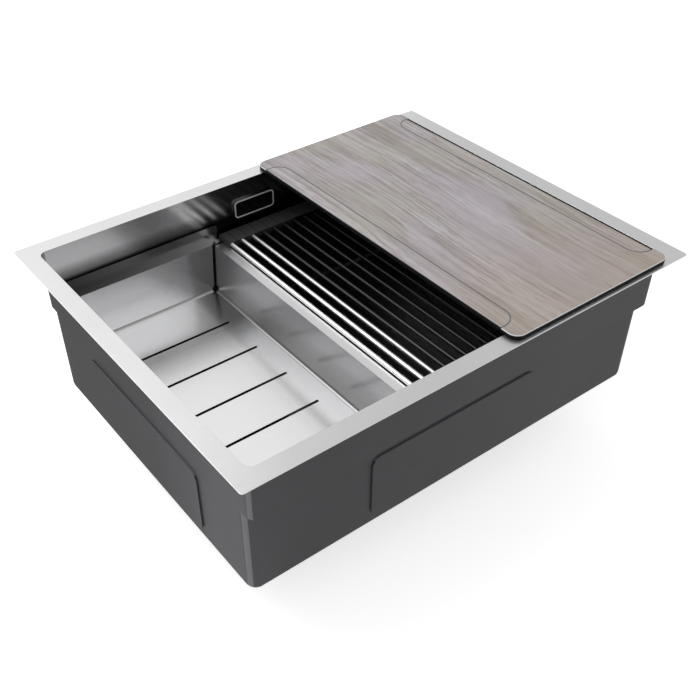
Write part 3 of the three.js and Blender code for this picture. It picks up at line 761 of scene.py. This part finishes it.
dressed("board_core", black_core, 0.6, segments=3)
top = dressed("board_top", limed_oak, 0.0)
board_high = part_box("board_top")[1]
for vertex in top.data.vertices:
    inwards = board_high.x - vertex.co.x
    if abs(inwards - SETBACK) < 0.5 * HAIR:
        vertex.co.x = board_high.x - SHOWN_SETBACK


def chamfer(polygon):
    return 0.2 < polygon.normal.z < 0.99


def groove(polygon):
    """The walls and floors of the grooves, and the layer's own edges and underside."""
    return polygon.normal.z < 0.2 or polygon.center.z < board_high.z - 0.45 * MM


# Painted highlight on the chamfer, painted shade on the grooves and on the layer's edges and
# underside.
paint(top, milled, chamfer)
paint(top, grooved_painted_shade, groove)


# ----------------------------------------------------------------- stage, light, camera

FAR = 30.0
FLOOR_REACH = 6.0
FLOOR_GAP = 0.5 * MM
FLOOR_GLOW = 0.62
STUDIO = 0.55  # strength of the white surroundings as light
SEEN = 1.0  # and as they are seen, straight or reflected
FOCAL_LENGTH = 48.532
SENSOR_WIDTH = 36
SHIFT = (0.0353, 0.0752)
CAMERA_PLACE = (-0.61284, -0.76865, 0.63570)
HEADING = math.radians(-36.826)
TILT = math.radians(48.169)
ROLL = math.radians(-0.515)


def seen_white(tree):
    """1 for rays from the camera, in reflections and through glass, and 0 for the others."""
    rays = tree.nodes.new("ShaderNodeLightPath")
    any_ray = rays.outputs["Is Camera Ray"]
    for label in ("Is Glossy Ray", "Is Transmission Ray"):
        joined = tree.nodes.new("ShaderNodeMath")
        joined.operation = "MAXIMUM"
        tree.links.new(any_ray, joined.inputs[0])
        tree.links.new(rays.outputs[label], joined.inputs[1])
        any_ray = joined.outputs["Value"]
    return any_ray


def floor_material():
    """Pale floor that shows white with the object's soft shadow on it."""
    material = bpy.data.materials.new("pale_floor")
    material.use_nodes = True
    tree = material.node_tree
    bsdf = tree.nodes["Principled BSDF"]
    bsdf.inputs["Base Color"].default_value = (0.9, 0.9, 0.9, 1)
    bsdf.inputs["Roughness"].default_value = 0.9
    bsdf.inputs["Specular IOR Level"].default_value = 0.1
    bsdf.inputs["Emission Color"].default_value = (1, 1, 1, 1)
    glow = tree.nodes.new("ShaderNodeMath")
    glow.operation = "MULTIPLY"
    glow.inputs[1].default_value = FLOOR_GLOW
    tree.links.new(seen_white(tree), glow.inputs[0])
    tree.links.new(glow.outputs["Value"], bsdf.inputs["Emission Strength"])
    return material


def floor():
    """A square floor just under the object."""
    z = cad_box[0].z - FLOOR_GAP
    corners = [
        (-FLOOR_REACH, -FLOOR_REACH, z),
        (FLOOR_REACH, -FLOOR_REACH, z),
        (FLOOR_REACH, FLOOR_REACH, z),
        (-FLOOR_REACH, FLOOR_REACH, z),
    ]
    mesh = bpy.data.meshes.new("floor")
    mesh.from_pydata(corners, [], [(0, 1, 2, 3)])
    mesh.materials.append(floor_material())
    made = bpy.data.objects.new("floor", mesh)
    scene.collection.objects.link(made)


def studio():
    """White surroundings that light the object less than they show."""
    world = bpy.data.worlds.new("studio")
    world.use_nodes = True
    tree = world.node_tree
    background = tree.nodes["Background"]
    background.inputs["Color"].default_value = (1, 1, 1, 1)
    strength = tree.nodes.new("ShaderNodeMapRange")
    strength.inputs["To Min"].default_value = STUDIO
    strength.inputs["To Max"].default_value = SEEN
    tree.links.new(seen_white(tree), strength.inputs["Value"])
    tree.links.new(strength.outputs["Result"], background.inputs["Strength"])
    scene.world = world


def lamp(name, place, target, size, power):
    """A square area lamp, in metres and watts, that looks at its target and isn't seen itself."""
    data = bpy.data.lights.new(name, "AREA")
    data.shape = "SQUARE"
    data.size = size
    data.energy = power
    made = bpy.data.objects.new(name, data)
    made.location = place
    direction = [t - p for t, p in zip(target, place)]
    length = math.sqrt(sum(d * d for d in direction))
    pitch = math.acos(-direction[2] / length)
    turn = math.atan2(direction[1], direction[0]) - math.pi / 2
    made.rotation_euler = (pitch, 0, turn)
    made.visible_camera = False
    scene.collection.objects.link(made)


def photo_camera():
    """The camera solved from the photograph, which is cropped off its centre."""
    data = bpy.data.cameras.new("camera")
    data.lens = FOCAL_LENGTH
    data.sensor_width = SENSOR_WIDTH
    data.shift_x, data.shift_y = SHIFT
    data.clip_end = FAR
    made = bpy.data.objects.new("camera", data)
    made.location = CAMERA_PLACE
    aim = (
        Matrix.Rotation(HEADING, 3, "Z")
        @ Matrix.Rotation(TILT, 3, "X")
        @ Matrix.Rotation(ROLL, 3, "Z")
    )
    made.rotation_euler = aim.to_euler()
    scene.collection.objects.link(made)
    scene.camera = made


floor()
studio()
lamp("key", place=(-0.9, 0.9, 1.8), target=(0, 0, -0.05), size=1.4, power=20)
lamp("fill", place=(-1.5, -1.4, 0.3), target=(-0.3, -0.25, -0.1), size=1.0, power=3)
photo_camera()
scene.view_settings.view_transform = "Standard"
